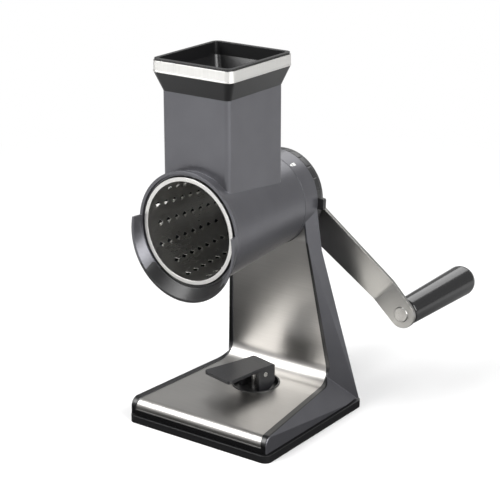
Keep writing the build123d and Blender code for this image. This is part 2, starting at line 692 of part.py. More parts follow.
# ================================================================ lock ring
with BuildPart() as lock_ring:
    with BuildSketch(Plane.YZ):
        turned_outline([
            (RING_FRONT, HEAD_RADIUS - RING_WALL),
            (RING_FRONT, HEAD_RADIUS),
            (RING_FRONT + 0.40 * RING_LENGTH, HEAD_RADIUS - 0.4),
            (RING_FRONT + 0.70 * RING_LENGTH, HEAD_RADIUS - 1.6),
            (RING_FRONT + 0.90 * RING_LENGTH, HEAD_RADIUS - 3.6),
            (RING_REAR, RING_REAR_RADIUS),
            (RING_REAR, BOSS_RADIUS + RUN_FIT),
            (RING_SLEEVE_FRONT, BOSS_RADIUS + RUN_FIT),
            (RING_SLEEVE_FRONT, BOSS_RADIUS + RING_WALL),
            (RING_REAR - RING_WALL, BOSS_RADIUS + RING_WALL),
            (RING_REAR - RING_WALL, RING_REAR_RADIUS - RING_WALL),
        ])
    revolve(axis=DRUM_AXIS)
    # Finger grooves round the outside.
    with BuildSketch(Plane.XZ.offset(-RING_FRONT)):
        with Locations((0, AXIS_Z)):
            with PolarLocations(HEAD_RADIUS + RIB_DEPTH, RING_RIBS):
                Circle(2 * RIB_DEPTH)
    extrude(amount=-RING_LENGTH, mode=Mode.SUBTRACT)
    # Tab at three o'clock.
    with BuildSketch(Plane.XZ.offset(-RING_FRONT)):
        with Locations(Location((0, AXIS_Z), TAB_ANGLE)):
            with Locations(((HEAD_RADIUS - RING_WALL + TAB_REACH) / 2, 0)):
                RectangleRounded(TAB_REACH - HEAD_RADIUS + RING_WALL, 2 * TAB_HALF, 1.5)
    extrude(amount=-TAB_THICKNESS)
save(lock_ring, "lock_ring")

# ================================================================ drum housing
with BuildPart() as mouth_lip:
    with BuildSketch(Plane.XZ.offset(-CASE_FRONT)):
        with Locations((0, AXIS_Z)):
            Circle(CASE_FRONT_RADIUS)
    with BuildSketch(Plane.XZ.offset(-LIP_FRONT)):
        with Locations((0, AXIS_Z - LIP_DROP)):
            Circle(LIP_RADIUS)
    loft(ruled=True)
    with BuildSketch(Plane.XZ.offset(-CASE_FRONT)):
        with Locations((0, AXIS_Z)):
            Circle(CASE_FRONT_RADIUS - LIP_WALL)
    with BuildSketch(Plane.XZ.offset(-LIP_FRONT)):
        with Locations((0, AXIS_Z - LIP_DROP)):
            Circle(LIP_RADIUS - LIP_WALL)
    loft(ruled=True, mode=Mode.SUBTRACT)
    split(bisect_by=Plane.XY.offset(AXIS_Z + LIP_LEVEL), keep=Keep.BOTTOM)

with BuildPart() as drum_housing:
    # Hopper, from inside the casing up to its flared rim.
    hopper_y = (HOPPER_FRONT + HOPPER_REAR) / 2
    hopper_length = HOPPER_REAR - HOPPER_FRONT
    with BuildSketch(Plane.XY.offset(AXIS_Z)):
        with Locations((0, hopper_y)):
            RectangleRounded(2 * HOPPER_HALF, hopper_length, HOPPER_CORNER)
    extrude(amount=FLARE_BOTTOM - AXIS_Z)
    with BuildSketch(Plane.XY.offset(FLARE_BOTTOM)):
        with Locations((0, hopper_y)):
            RectangleRounded(2 * HOPPER_HALF, hopper_length, HOPPER_CORNER)
    with BuildSketch(Plane.XY.offset(FLARE_TOP)):
        with Locations((0, hopper_y)):
            RectangleRounded(
                2 * (HOPPER_HALF + FLARE_OUT + BAND_WALL),
                hopper_length + 2 * (FLARE_OUT + BAND_WALL),
                BAND_CORNER,
            )
    loft(ruled=True)
    with BuildSketch(Plane.XY.offset(FLARE_TOP)):
        with Locations((0, hopper_y)):
            RectangleRounded(
                2 * (HOPPER_HALF + FLARE_OUT), hopper_length + 2 * FLARE_OUT, BAND_CORNER - BAND_WALL)
    extrude(amount=RIM_TOP - FLARE_TOP)
    # Tapered casing with its front flange.
    with BuildSketch(Plane.YZ):
        turned_outline([
            (CASE_FRONT, 0),
            (CASE_FRONT, CASE_FRONT_RADIUS),
            (FLANGE_REAR, CASE_FRONT_RADIUS),
            (FLANGE_REAR, case_radius(FLANGE_REAR)),
            (CASE_REAR, CASE_REAR_RADIUS),
            (CASE_REAR, SOCKET_RADIUS - RUN_FIT),
            (CASE_REAR + SPIGOT_LENGTH, SOCKET_RADIUS - RUN_FIT),
            (CASE_REAR + SPIGOT_LENGTH, 0),
        ])
    revolve(axis=DRUM_AXIS)
    # Lugs of the bayonet.
    with BuildSketch(Plane.XZ.offset(-LUG_FRONT)):
        with Locations((0, AXIS_Z)):
            Circle(GROOVE_RADIUS - SLIDE_GAP)
            with PolarLocations(0, LUG_COUNT, start_angle=LUG_START):
                sector(2 * GROOVE_RADIUS, LUG_ANGLE, mode=Mode.INTERSECT)
    extrude(amount=-LUG_LENGTH)
    # Hollow for the drum, the hole for its hub and the bore of the spigot.
    with BuildSketch(Plane.YZ):
        turned_outline([
            (CASE_FRONT - 1, 0),
            (CASE_FRONT - 1, MOUTH_RADIUS),
            (CASE_FRONT + MOUTH_STEP, MOUTH_RADIUS),
            (CASE_FRONT + MOUTH_STEP, case_radius(CASE_FRONT + MOUTH_STEP) - CASE_WALL),
            (CASE_REAR - CASE_END_WALL, case_radius(CASE_REAR - CASE_END_WALL) - CASE_WALL),
            (CASE_REAR - CASE_END_WALL, HUB_HOLE),
            (CASE_REAR, HUB_HOLE),
            (CASE_REAR, SPIGOT_BORE),
            (CASE_REAR + SPIGOT_LENGTH + 1, SPIGOT_BORE),
            (CASE_REAR + SPIGOT_LENGTH + 1, 0),
        ])
    revolve(axis=DRUM_AXIS, mode=Mode.SUBTRACT)
    # Throat and mouth of the hopper.
    with BuildSketch(Plane.XY.offset(AXIS_Z)):
        with Locations((0, hopper_y)):
            RectangleRounded(2 * (HOPPER_HALF - HOPPER_WALL), hopper_length - 2 * HOPPER_WALL, HOPPER_CORNER)
    extrude(amount=FLARE_BOTTOM - AXIS_Z, mode=Mode.SUBTRACT)
    with BuildSketch(Plane.XY.offset(FLARE_BOTTOM)):
        with Locations((0, hopper_y)):
            RectangleRounded(2 * (HOPPER_HALF - HOPPER_WALL), hopper_length - 2 * HOPPER_WALL, HOPPER_CORNER)
    with BuildSketch(Plane.XY.offset(FLARE_TOP)):
        with Locations((0, hopper_y)):
            RectangleRounded(
                2 * (HOPPER_HALF + FLARE_OUT - MOUTH_WALL),
                hopper_length + 2 * (FLARE_OUT - MOUTH_WALL),
                HOPPER_CORNER,
            )
    loft(ruled=True, mode=Mode.SUBTRACT)
    with BuildSketch(Plane.XY.offset(FLARE_TOP)):
        with Locations((0, hopper_y)):
            RectangleRounded(
                2 * (HOPPER_HALF + FLARE_OUT - MOUTH_WALL),
                hopper_length + 2 * (FLARE_OUT - MOUTH_WALL),
                HOPPER_CORNER,
            )
    extrude(amount=RIM_TOP - FLARE_TOP, mode=Mode.SUBTRACT)
    add(mouth_lip.part)
save(drum_housing, "drum_housing")

with BuildPart() as hopper_band:
    with BuildSketch(Plane.XY.offset(FLARE_TOP)):
        with Locations((0, hopper_y)):
            RectangleRounded(
                2 * (HOPPER_HALF + FLARE_OUT + BAND_WALL),
                hopper_length + 2 * (FLARE_OUT + BAND_WALL),
                BAND_CORNER,
            )
            RectangleRounded(
                2 * (HOPPER_HALF + FLARE_OUT),
                hopper_length + 2 * FLARE_OUT,
                BAND_CORNER - BAND_WALL,
                mode=Mode.SUBTRACT,
            )
    extrude(amount=BAND_TOP - FLARE_TOP)
save(hopper_band, "hopper_band")

# ================================================================ grating drum
# One tooth: a hooded spike punched out of the sheet, lying in XY with the sheet's outside up.
with BuildPart() as tooth:
    with BuildSketch(Plane.XY.offset(-DRUM_SHEET / 2)):
        outline([(-TOOTH_LENGTH / 2 - 0.4, 0), (TOOTH_LENGTH / 2 + 0.4, 0), (0, TOOTH_WIDTH / 2 + 0.5)])
    extrude(amount=TOOTH_HEIGHT + DRUM_SHEET / 2, taper=TOOTH_TAPER)
tooth_hollow = tooth.part.moved(Location((0, -TOOTH_SHELL, -TOOTH_SHELL / 2)))

with BuildPart() as tooth_hood:
    add(tooth.part)
    add(tooth_hollow, mode=Mode.SUBTRACT)

tooth_places = []
for row in range(TOOTH_ROWS):
    turn = radians(360 * row / TOOTH_ROWS)
    for column in range(TEETH_PER_ROW):
        y = FIRST_TOOTH + TOOTH_PITCH * (column + 0.5 * (row % 2))
        radius = drum_radius(y)
        tooth_places.append(Plane(
            origin=(radius * sin(turn), y, AXIS_Z + radius * cos(turn)),
            x_dir=(DRUM_SLOPE * sin(turn), 1, DRUM_SLOPE * cos(turn)),
            z_dir=(sin(turn), -DRUM_SLOPE, cos(turn)),
        ))

with BuildPart() as drum_shell:
    with BuildSketch(Plane.YZ):
        turned_outline([
            (DRUM_FRONT, DRUM_FRONT_RADIUS),
            (DRUM_REAR, DRUM_REAR_RADIUS),
            (DRUM_REAR, DRUM_REAR_RADIUS - DRUM_SHEET),
            (DRUM_FRONT, DRUM_FRONT_RADIUS - DRUM_SHEET),
        ])
    revolve(axis=DRUM_AXIS)
    with BuildSketch(*tooth_places):
        outline([(-TOOTH_LENGTH / 2, 0), (0, -TOOTH_WIDTH / 2), (TOOTH_LENGTH / 2, 0), (0, TOOTH_WIDTH / 2)])
    extrude(amount=2 * DRUM_SHEET, both=True, mode=Mode.SUBTRACT)
    with Locations(*tooth_places):
        add(tooth_hood.part)
save(drum_shell, "drum_shell")

with BuildPart() as drum_front_ring:
    with BuildSketch(Plane.YZ):
        turned_outline([
            (DRUM_RING_FRONT, DRUM_RING_INNER),
            (DRUM_RING_FRONT, DRUM_RING_OUTER),
            (DRUM_RING_FRONT + DRUM_RING_LENGTH, DRUM_RING_OUTER),
            (DRUM_RING_FRONT + DRUM_RING_LENGTH, DRUM_RING_INNER),
        ])
    revolve(axis=DRUM_AXIS)
    with BuildSketch(Plane.YZ):
        turned_outline([
            (DRUM_FRONT, DRUM_FRONT_RADIUS),
            (DRUM_REAR, DRUM_REAR_RADIUS),
            (DRUM_REAR, DRUM_REAR_RADIUS - DRUM_SHEET),
            (DRUM_FRONT, DRUM_FRONT_RADIUS - DRUM_SHEET),
        ])
    revolve(axis=DRUM_AXIS, mode=Mode.SUBTRACT)
save(drum_front_ring, "drum_front_ring")

with BuildPart() as drum_hub:
    with BuildSketch(Plane.YZ):
        turned_outline([
            (DRUM_REAR - DRUM_END_WALL, 0),
            (DRUM_REAR - DRUM_END_WALL, drum_radius(DRUM_REAR - DRUM_END_WALL) - DRUM_SHEET),
            (DRUM_REAR, DRUM_REAR_RADIUS - DRUM_SHEET),
            (DRUM_REAR, HUB_RADIUS),
            (HUB_REAR, HUB_RADIUS),
            (HUB_REAR, 0),
        ])
    revolve(axis=DRUM_AXIS)
    with BuildSketch(Plane.XZ.offset(-SOCKET_BOTTOM)):
        with Locations((0, AXIS_Z)):
            RegularPolygon(SOCKET_ACROSS / 2, 6, major_radius=False)
    extrude(amount=-(HUB_REAR - SOCKET_BOTTOM), mode=Mode.SUBTRACT)
save(drum_hub, "drum_hub")

# ================================================================ crank
with BuildPart() as crank_hub:
    with BuildSketch(ARM_OUTLINE_PLANE):
        Circle(HUB_DISC_RADIUS)
        Rectangle(SQUARE_SIZE, SQUARE_SIZE, mode=Mode.SUBTRACT)
    extrude(amount=-(ARM_FRONT - HUB_FRONT))
save(crank_hub, "crank_hub")

with BuildPart() as crank_arm:
    # Bent strip seen from its edge, then trimmed to the arm's outline.
    with BuildSketch(ARM_SIDE_PLANE):
        with BuildLine():
            FilletPolyline(
                (-2 * ARM_HUB_RADIUS, ARM_FRONT),
                (ARM_RAMP_START, ARM_FRONT),
                (ARM_RAMP_END, ARM_FRONT + ARM_JOGGLE),
                (ARM_LENGTH + 2 * ARM_END_RADIUS, ARM_FRONT + ARM_JOGGLE),
                radius=[ARM_BEND, ARM_BEND],
                close=False,
            )
            offset(amount=ARM_THICKNESS, side=Side.LEFT)
        make_face()
    extrude(amount=2 * ARM_HUB_RADIUS, both=True)
    with BuildSketch(ARM_OUTLINE_PLANE):
        Circle(ARM_HUB_RADIUS)
        outline([
            (0, -ARM_ROOT_HALF),
            (ARM_LENGTH, -ARM_END_RADIUS),
            (ARM_LENGTH, ARM_END_RADIUS),
            (0, ARM_ROOT_HALF),
        ])
        with Locations((ARM_LENGTH, 0)):
            Circle(ARM_END_RADIUS)
    extrude(amount=-2 * ARM_LENGTH, mode=Mode.INTERSECT)
    with BuildSketch(ARM_OUTLINE_PLANE):
        Rectangle(SQUARE_SIZE, SQUARE_SIZE)
        with Locations((ARM_LENGTH, 0)):
            Circle(AXLE_RADIUS)
    extrude(amount=-2 * ARM_LENGTH, mode=Mode.SUBTRACT)
save(crank_arm, "crank_arm")

with BuildPart() as crank_washer:
    with BuildSketch(Plane.XZ.offset(-(ARM_FRONT + ARM_THICKNESS))):
        with Locations((0, AXIS_Z)):
            Circle(SCREW_HEAD_RADIUS + WASHER_THICKNESS)
            Circle(SCREW_RADIUS, mode=Mode.SUBTRACT)
    extrude(amount=-WASHER_THICKNESS)
save(crank_washer, "crank_washer")

with BuildPart() as crank_screw:
    with BuildSketch(Plane.YZ):
        turned_outline([
            (SCREW_TIP, 0),
            (SCREW_TIP, SCREW_RADIUS),
            (SCREW_SEAT, SCREW_RADIUS),
            (SCREW_SEAT, SCREW_HEAD_RADIUS),
            (SCREW_SEAT + 0.55 * SCREW_HEAD_HEIGHT, SCREW_HEAD_RADIUS),
            (SCREW_SEAT + 0.85 * SCREW_HEAD_HEIGHT, 0.8 * SCREW_HEAD_RADIUS),
            (SCREW_SEAT + SCREW_HEAD_HEIGHT, 0.5 * SCREW_HEAD_RADIUS),
            (SCREW_SEAT + SCREW_HEAD_HEIGHT, 0),
        ])
    revolve(axis=DRUM_AXIS)
save(crank_screw, "crank_screw")

# ================================================================ grip on its axle
with BuildPart() as grip_axle:
    with BuildSketch(GRIP_PLANE):
        turned_outline([
            (ARM_BACK - ARM_THICKNESS - RIVET_HEIGHT, 0),
            (ARM_BACK - ARM_THICKNESS - RIVET_HEIGHT, RIVET_RADIUS - RIVET_HEIGHT / 2),
            (ARM_BACK - ARM_THICKNESS - RIVET_HEIGHT / 2, RIVET_RADIUS),
            (ARM_BACK - ARM_THICKNESS, RIVET_RADIUS),
            (ARM_BACK - ARM_THICKNESS, AXLE_RADIUS),
            (GRIP_CLIP_FRONT, AXLE_RADIUS),
            (GRIP_CLIP_FRONT, AXLE_RADIUS - 1),
            (GRIP_CLIP_FRONT + CLIP_THICKNESS, AXLE_RADIUS - 1),
            (GRIP_CLIP_FRONT + CLIP_THICKNESS, AXLE_RADIUS),
            (AXLE_END, AXLE_RADIUS),
            (AXLE_END, 0),
        ], GRIP_Z)
    revolve(axis=GRIP_AXIS)
save(grip_axle, "grip_axle")

with BuildPart() as grip_collar:
    with BuildSketch(GRIP_PLANE):
        turned_outline([
            (ARM_BACK, AXLE_RADIUS),
            (ARM_BACK, GRIP_NEAR_RADIUS - 2),
            (ARM_BACK + COLLAR_HEIGHT, GRIP_NEAR_RADIUS - 2),
            (ARM_BACK + COLLAR_HEIGHT, AXLE_RADIUS),
        ], GRIP_Z)
    revolve(axis=GRIP_AXIS)
save(grip_collar, "grip_collar")

with BuildPart() as grip_clip:
    with BuildSketch(GRIP_PLANE):
        turned_outline([
            (GRIP_CLIP_FRONT, AXLE_RADIUS - 1),
            (GRIP_CLIP_FRONT, GRIP_CLIP_RADIUS),
            (GRIP_CLIP_FRONT + CLIP_THICKNESS, GRIP_CLIP_RADIUS),
            (GRIP_CLIP_FRONT + CLIP_THICKNESS, AXLE_RADIUS - 1),
        ], GRIP_Z)
    revolve(axis=GRIP_AXIS)
save(grip_clip, "grip_clip")

with BuildPart() as grip:
    with BuildSketch(GRIP_PLANE) as grip_profile:
        turned_outline([
            (GRIP_FRONT, AXLE_RADIUS + RUN_FIT),
            (GRIP_FRONT, GRIP_NEAR_RADIUS),
            (GRIP_FRONT + GRIP_LENGTH, GRIP_FAR_RADIUS),
            (GRIP_FRONT + GRIP_LENGTH, 0),
            (GRIP_FRONT + GRIP_BORE_DEPTH, 0),
            (GRIP_FRONT + GRIP_BORE_DEPTH, AXLE_RADIUS + RUN_FIT),
            (GRIP_CLIP_FRONT + CLIP_THICKNESS + CLIP_GROOVE_GAP, AXLE_RADIUS + RUN_FIT),
            (GRIP_CLIP_FRONT + CLIP_THICKNESS + CLIP_GROOVE_GAP, GRIP_CLIP_RADIUS + CLIP_GROOVE_GAP),
            (GRIP_CLIP_FRONT - CLIP_GROOVE_GAP, GRIP_CLIP_RADIUS + CLIP_GROOVE_GAP),
            (GRIP_CLIP_FRONT - CLIP_GROOVE_GAP, AXLE_RADIUS + RUN_FIT),
        ], GRIP_Z)
        corners = grip_profile.vertices().group_by(Axis.Y)[-1]
        fillet(corners, radius=GRIP_END_ROUND)
        fillet(grip_profile.vertices().sort_by(Axis.X)[0:2].sort_by(Axis.Y)[-1], radius=GRIP_NEAR_ROUND)
    revolve(axis=GRIP_AXIS)
save(grip, "grip")
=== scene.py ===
"""Looks of the hand-cranked drum grater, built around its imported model.

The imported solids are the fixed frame. This file dresses each of them with a procedural finish, adds
the small printed, rolled and recessed details, and sets up the camera, the light and the floor.
Everything is in the frame of the model. Blender gets metres; the fields of the finishes and of the
added pieces are in millimetres, and those of the studio in metres.
"""

import json
import logging
import math
from dataclasses import dataclass
from enum import Enum
from typing import Any

import bmesh
import bpy
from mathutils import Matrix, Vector


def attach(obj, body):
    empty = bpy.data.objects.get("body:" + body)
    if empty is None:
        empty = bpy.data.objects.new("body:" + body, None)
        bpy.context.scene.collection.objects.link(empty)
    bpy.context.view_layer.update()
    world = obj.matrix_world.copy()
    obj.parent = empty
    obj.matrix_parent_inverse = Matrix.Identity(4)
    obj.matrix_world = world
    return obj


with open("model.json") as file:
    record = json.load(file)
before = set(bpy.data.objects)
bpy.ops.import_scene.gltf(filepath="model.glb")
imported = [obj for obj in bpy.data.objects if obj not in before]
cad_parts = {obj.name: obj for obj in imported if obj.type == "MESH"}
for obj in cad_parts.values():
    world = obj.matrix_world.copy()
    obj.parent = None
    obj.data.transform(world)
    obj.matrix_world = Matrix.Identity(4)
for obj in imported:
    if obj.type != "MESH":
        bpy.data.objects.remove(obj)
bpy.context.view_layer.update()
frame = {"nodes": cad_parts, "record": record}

LOG = logging.getLogger("drum_grater")
MM = 0.001
NOISE_MIDDLE = (0.3, 0.7)       # most values of a noise texture lie between these
STREAK_MIDDLE = (0.25, 0.75)    # the same for the rougher noise of brush marks
EDGE_SAMPLES = 4


def linear(code: str) -> tuple[float, float, float, float]:
    """Turn an sRGB hex colour into linear RGBA.

    Args:
        code: Colour such as "#3a3a3c".

    Returns:
        Linear red, green, blue and an alpha of 1.
    """
    values = [int(code[i:i + 2], 16) / 255 for i in (1, 3, 5)]
    red, green, blue = (v / 12.92 if v <= 0.04045 else ((v + 0.055) / 1.055) ** 2.4 for v in values)
    return red, green, blue, 1.0


def add_node(
    tree: bpy.types.NodeTree,
    kind: str,
    settings: dict[str, Any] | None = None,
    inputs: dict[str | int, Any] | None = None,
) -> bpy.types.Node:
    """Add one shader node, set it up and link its inputs.

    Args:
        tree: Node tree that gets the node.
        kind: Blender's type name of the node.
        settings: Attributes of the node to set.
        inputs: Per input socket, a value or an output socket to link.

    Returns:
        The new node.
    """
    node = tree.nodes.new(kind)
    for name, value in (settings or {}).items():
        setattr(node, name, value)
    for name, value in (inputs or {}).items():
        if isinstance(value, bpy.types.NodeSocket):
            tree.links.new(value, node.inputs[name])
        else:
            node.inputs[name].default_value = value
    return node


def add_noise(
    tree: bpy.types.NodeTree,
    place: bpy.types.NodeSocket,
    size_mm: float,
    detail: float,
    roughness: float = 0.5,
) -> bpy.types.NodeSocket:
    """Add a noise texture of a real size.

    Args:
        tree: Node tree that gets the texture.
        place: Socket that says where the texture is read.
        size_mm: Size of its features.
        detail: How many finer layers it has.
        roughness: How strong those layers are.

    Returns:
        The socket of its value.
    """
    noise = add_node(tree, "ShaderNodeTexNoise", {}, {
        "Vector": place, "Scale": 1 / (size_mm * MM), "Detail": detail, "Roughness": roughness})
    return noise.outputs["Fac"]


def add_range(
    tree: bpy.types.NodeTree,
    value: bpy.types.NodeSocket,
    source: tuple[float, float],
    target: tuple[float, float],
) -> bpy.types.NodeSocket:
    """Map one range of a value to another.

    Args:
        tree: Node tree that gets the node.
        value: Socket of the value.
        source: Range that the value has.
        target: Range that it gets.

    Returns:
        The socket of the mapped value.
    """
    mapped = add_node(tree, "ShaderNodeMapRange", {}, {
        "Value": value, "From Min": source[0], "From Max": source[1],
        "To Min": target[0], "To Max": target[1]})
    return mapped.outputs["Result"]


def add_mix(
    tree: bpy.types.NodeTree, kind: str, share: Any, first: Any, second: Any, blend: str = "MIX",
) -> bpy.types.NodeSocket:
    """Mix two values or colours.

    Args:
        tree: Node tree that gets the node.
        kind: "FLOAT" or "RGBA".
        share: How much of the second there is.
        first: Value or socket.
        second: Value or socket.
        blend: How colours are mixed.

    Returns:
        The socket of the mix.
    """
    mixed = add_node(tree, "ShaderNodeMix", {"data_type": kind, "blend_type": blend}, {
        "Factor": share, "A": first, "B": second})
    return mixed.outputs["Result"]


def add_math(tree: bpy.types.NodeTree, operation: str, *values: Any) -> bpy.types.NodeSocket:
    """Add one step of arithmetic.

    Args:
        tree: Node tree that gets the node.
        operation: Blender's name of the operation.
        values: Its numbers or sockets, in order.

    Returns:
        The socket of the result.
    """
    return add_node(
        tree, "ShaderNodeMath", {"operation": operation}, dict(enumerate(values))).outputs["Value"]


def add_relief(
    tree: bpy.types.NodeTree, height: bpy.types.NodeSocket, depth_mm: float, edge_mm: float,
) -> bpy.types.NodeSocket:
    """Shade a fine relief and softly rounded edges, with no change to the mesh.

    Args:
        tree: Node tree that gets the nodes.
        height: Socket of the relief's height, from 0 to 1.
        depth_mm: Real height at 1.
        edge_mm: Radius with which edges are shaded.

    Returns:
        The socket of the normal.
    """
    rounded = add_node(tree, "ShaderNodeBevel", {"samples": EDGE_SAMPLES}, {"Radius": edge_mm * MM})
    bump = add_node(tree, "ShaderNodeBump", {}, {
        "Height": height, "Strength": 1.0, "Distance": depth_mm * MM,
        "Normal": rounded.outputs["Normal"]})
    return bump.outputs["Normal"]


def close_surface(tree: bpy.types.NodeTree, inputs: dict[str | int, Any]) -> None:
    """Add the surface shader and the material's output.

    Args:
        tree: The material's node tree.
        inputs: Values or sockets of the shader's inputs.
    """
    shader = add_node(tree, "ShaderNodeBsdfPrincipled", {}, inputs)
    add_node(tree, "ShaderNodeOutputMaterial", {}, {"Surface": shader.outputs["BSDF"]})


def new_material(name: str) -> tuple[bpy.types.Material, bpy.types.NodeTree]:
    """Make an empty node material.

    Args:
        name: The material's name.

    Returns:
        The material and its node tree, with no nodes in it.
    """
    material = bpy.data.materials.new(name)
    material.use_nodes = True
    material.node_tree.nodes.clear()
    return material, material.node_tree


class Grain(Enum):
    """Direction of a brushed or turned grain, as the stretch of the noise along X, Y and Z."""

    ALONG_X = (0.02, 1.0, 1.0)
    ALONG_Y = (1.0, 0.02, 1.0)
    ALONG_Z = (1.0, 1.0, 0.02)
    EVEN = (1.0, 1.0, 1.0)


@dataclass(frozen=True)
class PaintedShadeBand:
    """Band of a moulding, picked by height and facing, that gets painted shade: a near-black colour for the
    dark reflections its faces show, darker than the grained walls.
    """

    colour: str
    roughness: float
    low_mm: float
    high_mm: float
    side_limit: float = 2.0     # leaves out faces that look sideways by more than this
    rear_limit: float = 2.0     # leaves out faces that look backwards by more than this


@dataclass(frozen=True)
class MouldedPlastic:
    """Injection-moulded ABS or rubber with a fine spark-eroded grain, which gives a soft wide sheen."""

    name: str
    colour: str
    roughness: float = 0.42
    ior: float = 1.54
    grain_mm: float = 0.9       # spark-eroded grain is about 0.1 mm; drawn coarser so that it shows
    grain_depth: float = 0.03
    sheen_down: float = 0.05    # how much smoother the grain's hollows are
    sheen_up: float = 0.06      # how much rougher its tops are
    mottle: float = 0.06
    mottle_mm: float = 28.0     # the melt's flow leaves soft clouds about this wide
    edge_mm: float = 0.7        # moulded edges are rounded, which gives each a thin highlight
    flake: float = 0.0          # share of metallic effect pigment, which deepens the contrast
    painted_shade_bands: tuple[PaintedShadeBand, ...] = ()

    def painted_shade_mask(self, tree: bpy.types.NodeTree, shade_band: PaintedShadeBand) -> bpy.types.NodeSocket:
        """Make the share, 0 or 1, by which a place lies on a band of painted shade.

        Args:
            tree: The material's node tree.
            shade_band: Where the band of painted shade is.

        Returns:
            The socket of that share.
        """
        place = add_node(tree, "ShaderNodeTexCoord")
        at = add_node(tree, "ShaderNodeSeparateXYZ", {}, {0: place.outputs["Object"]})
        facing = add_node(tree, "ShaderNodeSeparateXYZ", {}, {0: place.outputs["Normal"]})
        tests = (
            (at.outputs["Z"], "GREATER_THAN", shade_band.low_mm * MM),
            (at.outputs["Z"], "LESS_THAN", shade_band.high_mm * MM),
            (add_math(tree, "ABSOLUTE", facing.outputs["X"]), "LESS_THAN", shade_band.side_limit),
            (facing.outputs["Y"], "LESS_THAN", shade_band.rear_limit),
        )
        share: Any = 1.0
        for value, operation, limit in tests:
            share = add_math(tree, "MULTIPLY", share, add_math(tree, operation, value, limit))
        return share

    def build(self) -> bpy.types.Material:
        """Make the material.

        Returns:
            The new material.
        """
        material, tree = new_material(self.name)
        place = add_node(tree, "ShaderNodeTexCoord").outputs["Object"]
        fine = add_noise(tree, place, self.grain_mm, detail=3.0, roughness=0.6)
        broad = add_noise(tree, place, self.mottle_mm, detail=2.0)
        tone = add_range(tree, broad, NOISE_MIDDLE, (1 - self.mottle, 1 + self.mottle))
        base: Any = linear(self.colour)
        rough: Any = add_range(
            tree, fine, NOISE_MIDDLE, (self.roughness - self.sheen_down, self.roughness + self.sheen_up))
        flake: Any = self.flake
        # Painted shade: on each band the colour turns near black and loses its metallic effect, for the dark
        # reflections these faces show.
        for shade_band in self.painted_shade_bands:
            share = self.painted_shade_mask(tree, shade_band)
            base = add_mix(tree, "RGBA", share, base, linear(shade_band.colour))
            rough = add_mix(tree, "FLOAT", share, rough, shade_band.roughness)
            flake = add_mix(tree, "FLOAT", share, flake, 0.0)
        close_surface(tree, {
            "Base Color": add_mix(tree, "RGBA", 1.0, base, tone, "MULTIPLY"),
            "Roughness": rough, "Metallic": flake, "IOR": self.ior,
            "Normal": add_relief(tree, fine, self.grain_depth, self.edge_mm)})
        return material


@dataclass(frozen=True)
class WorkedSteel:
    """Worked metal with a directional finish: fine streaks break up a long soft reflection."""

    name: str
    colour: str
    roughness: float = 0.32
    grain: Grain = Grain.ALONG_X
    streak_mm: float = 0.5      # real brush marks are about 0.05 mm apart; drawn coarser to show
    streak_depth: float = 0.006
    streak_rough: float = 0.10  # how much rougher a brush mark's edge is than its bed
    haze_mm: float = 35.0       # handling leaves duller clouds about this wide
    haze_rough: float = 0.08
    smoother: float = 0.06      # keeps the mean roughness near the one written
    contrast: float = 0.10
    edge_mm: float = 0.5        # deburred edges catch the light

    def build(self) -> bpy.types.Material:
        """Make the material.

        Returns:
            The new material.
        """
        material, tree = new_material(self.name)
        place = add_node(tree, "ShaderNodeTexCoord").outputs["Object"]
        stretched = add_node(tree, "ShaderNodeVectorMath", {"operation": "MULTIPLY"}, {
            0: place, 1: self.grain.value}).outputs["Vector"]
        streaks = add_noise(tree, stretched, self.streak_mm, detail=4.0, roughness=0.65)
        haze = add_noise(tree, place, self.haze_mm, detail=2.0)
        tone = add_range(tree, streaks, STREAK_MIDDLE, (1 - self.contrast, 1 + self.contrast / 2))
        worn = add_math(tree, "MULTIPLY_ADD", haze, self.haze_rough, self.roughness - self.smoother)
        close_surface(tree, {
            "Base Color": add_mix(tree, "RGBA", 1.0, linear(self.colour), tone, "MULTIPLY"),
            "Metallic": 1.0,
            "Roughness": add_math(tree, "MULTIPLY_ADD", streaks, self.streak_rough, worn),
            "Normal": add_relief(tree, streaks, self.streak_depth, self.edge_mm)})
        return material


class Finish(Enum):
    """The finishes, by the record's material slot; the last two are for added pieces alone."""

    BODY_ABS = "black_plastic"
    RIM_ABS = "rim_plastic"
    GRIP_ABS = "grip_plastic"
    LEVER_ABS = "lever_plastic"
    HUB_ABS = "hub_plastic"
    COVER_STEEL = "cover_steel"
    DRUM_STEEL = "drum_steel"
    BAND_STEEL = "band_steel"
    ARM_STEEL = "arm_steel"
    SHAFT_STEEL = "shaft_steel"
    BUSH_BRASS = "bush_brass"
    CUP_RUBBER = "cup_rubber"
    MARK_INK = "mark_ink"
    SOCKET_SHADE = "socket_shade"


